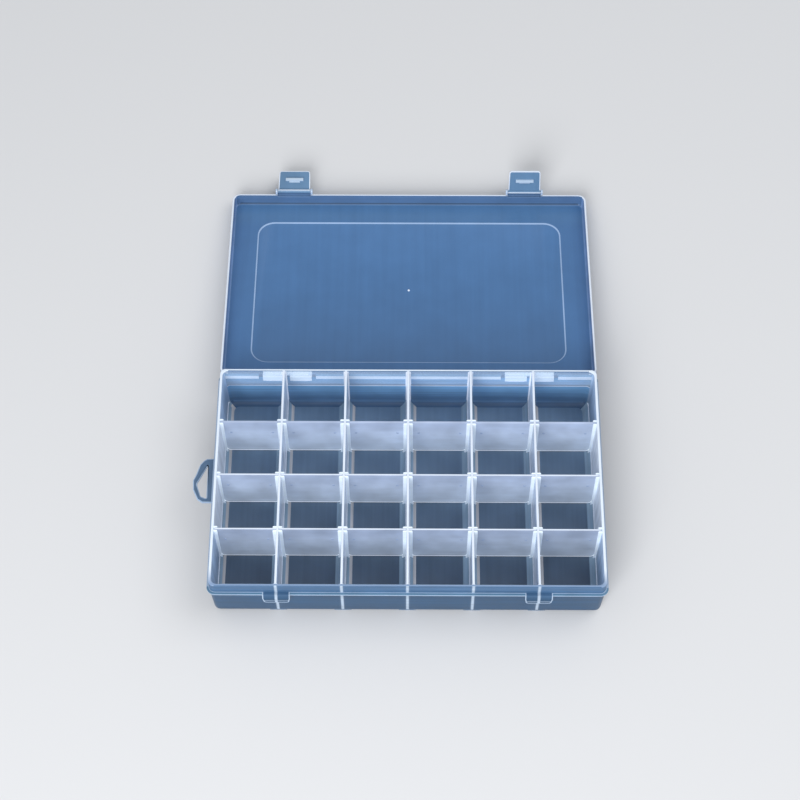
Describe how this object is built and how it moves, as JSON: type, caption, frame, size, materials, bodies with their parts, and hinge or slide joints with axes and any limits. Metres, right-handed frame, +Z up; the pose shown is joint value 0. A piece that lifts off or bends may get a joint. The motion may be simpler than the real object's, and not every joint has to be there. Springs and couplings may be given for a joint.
{
  "type": "compartment box with lift-out dividers and hinged lid",
  "caption": "Flat translucent storage box for beads and small parts: a tray of compartments with lift-out dividers, a hinged lid, snap latches and a hang tab.",
  "frame": {"origin": "middle of the tray's underside, on the surface that the box stands on", "axes": "+X to the right and +Y from the latch side to the hinge side, as the picture is seen; +Z up, out of the open tray"},
  "size_m": [0.2058, 0.2672, 0.032],
  "materials": {
    "tray": "satin translucent",
    "lid": "satin translucent",
    "latch": "satin translucent",
    "divider": "satin translucent"
  },
  "bodies": {
    "tray": {"tray": "tray"},
    "lid": {"lid": "lid"},
    "latch_left": {"latch_left": "latch"},
    "latch_right": {"latch_right": "latch"},
    "divider_r1_c1": {"divider_r1_c1": "divider"},
    "divider_r1_c2": {"divider_r1_c2": "divider"},
    "divider_r1_c3": {"divider_r1_c3": "divider"},
    "divider_r1_c4": {"divider_r1_c4": "divider"},
    "divider_r1_c5": {"divider_r1_c5": "divider"},
    "divider_r1_c6": {"divider_r1_c6": "divider"},
    "divider_r2_c1": {"divider_r2_c1": "divider"},
    "divider_r2_c2": {"divider_r2_c2": "divider"},
    "divider_r2_c3": {"divider_r2_c3": "divider"},
    "divider_r2_c4": {"divider_r2_c4": "divider"},
    "divider_r2_c5": {"divider_r2_c5": "divider"},
    "divider_r2_c6": {"divider_r2_c6": "divider"},
    "divider_r3_c1": {"divider_r3_c1": "divider"},
    "divider_r3_c2": {"divider_r3_c2": "divider"},
    "divider_r3_c3": {"divider_r3_c3": "divider"},
    "divider_r3_c4": {"divider_r3_c4": "divider"},
    "divider_r3_c5": {"divider_r3_c5": "divider"},
    "divider_r3_c6": {"divider_r3_c6": "divider"}
  },
  "joints": [
    {"name": "lid_hinge", "type": "hinge", "parent": "tray", "child": "lid", "pos_m": [0, 0.0635, 0.0233], "axis": [-1, 0, 0], "range_deg": [-186.04, 0]},
    {"name": "latch_left_pivot", "type": "hinge", "parent": "lid", "child": "latch_left", "pos_m": [-0.06393, 0.19017, 0.00868], "axis": [-1, 0, 0], "range_deg": [-82, 8]},
    {"name": "latch_right_pivot", "type": "hinge", "parent": "lid", "child": "latch_right", "pos_m": [0.06393, 0.19017, 0.00868], "axis": [-1, 0, 0], "range_deg": [-14, 76]},
    {"name": "divider_r1_c1_lift", "type": "slide", "parent": "tray", "child": "divider_r1_c1", "axis": [0, 0, 1], "range_m": [0, 0.04]},
    {"name": "divider_r1_c2_lift", "type": "slide", "parent": "tray", "child": "divider_r1_c2", "axis": [0, 0, 1], "range_m": [0, 0.04]},
    {"name": "divider_r1_c3_lift", "type": "slide", "parent": "tray", "child": "divider_r1_c3", "axis": [0, 0, 1], "range_m": [0, 0.04]},
    {"name": "divider_r1_c4_lift", "type": "slide", "parent": "tray", "child": "divider_r1_c4", "axis": [0, 0, 1], "range_m": [0, 0.04]},
    {"name": "divider_r1_c5_lift", "type": "slide", "parent": "tray", "child": "divider_r1_c5", "axis": [0, 0, 1], "range_m": [0, 0.04]},
    {"name": "divider_r1_c6_lift", "type": "slide", "parent": "tray", "child": "divider_r1_c6", "axis": [0, 0, 1], "range_m": [0, 0.04]},
    {"name": "divider_r2_c1_lift", "type": "slide", "parent": "tray", "child": "divider_r2_c1", "axis": [0, 0, 1], "range_m": [0, 0.04]},
    {"name": "divider_r2_c2_lift", "type": "slide", "parent": "tray", "child": "divider_r2_c2", "axis": [0, 0, 1], "range_m": [0, 0.04]},
    {"name": "divider_r2_c3_lift", "type": "slide", "parent": "tray", "child": "divider_r2_c3", "axis": [0, 0, 1], "range_m": [0, 0.04]},
    {"name": "divider_r2_c4_lift", "type": "slide", "parent": "tray", "child": "divider_r2_c4", "axis": [0, 0, 1], "range_m": [0, 0.04]},
    {"name": "divider_r2_c5_lift", "type": "slide", "parent": "tray", "child": "divider_r2_c5", "axis": [0, 0, 1], "range_m": [0, 0.04]},
    {"name": "divider_r2_c6_lift", "type": "slide", "parent": "tray", "child": "divider_r2_c6", "axis": [0, 0, 1], "range_m": [0, 0.04]},
    {"name": "divider_r3_c1_lift", "type": "slide", "parent": "tray", "child": "divider_r3_c1", "axis": [0, 0, 1], "range_m": [0, 0.04]},
    {"name": "divider_r3_c2_lift", "type": "slide", "parent": "tray", "child": "divider_r3_c2", "axis": [0, 0, 1], "range_m": [0, 0.04]},
    {"name": "divider_r3_c3_lift", "type": "slide", "parent": "tray", "child": "divider_r3_c3", "axis": [0, 0, 1], "range_m": [0, 0.04]},
    {"name": "divider_r3_c4_lift", "type": "slide", "parent": "tray", "child": "divider_r3_c4", "axis": [0, 0, 1], "range_m": [0, 0.04]},
    {"name": "divider_r3_c5_lift", "type": "slide", "parent": "tray", "child": "divider_r3_c5", "axis": [0, 0, 1], "range_m": [0, 0.04]},
    {"name": "divider_r3_c6_lift", "type": "slide", "parent": "tray", "child": "divider_r3_c6", "axis": [0, 0, 1], "range_m": [0, 0.04]}
  ]
}
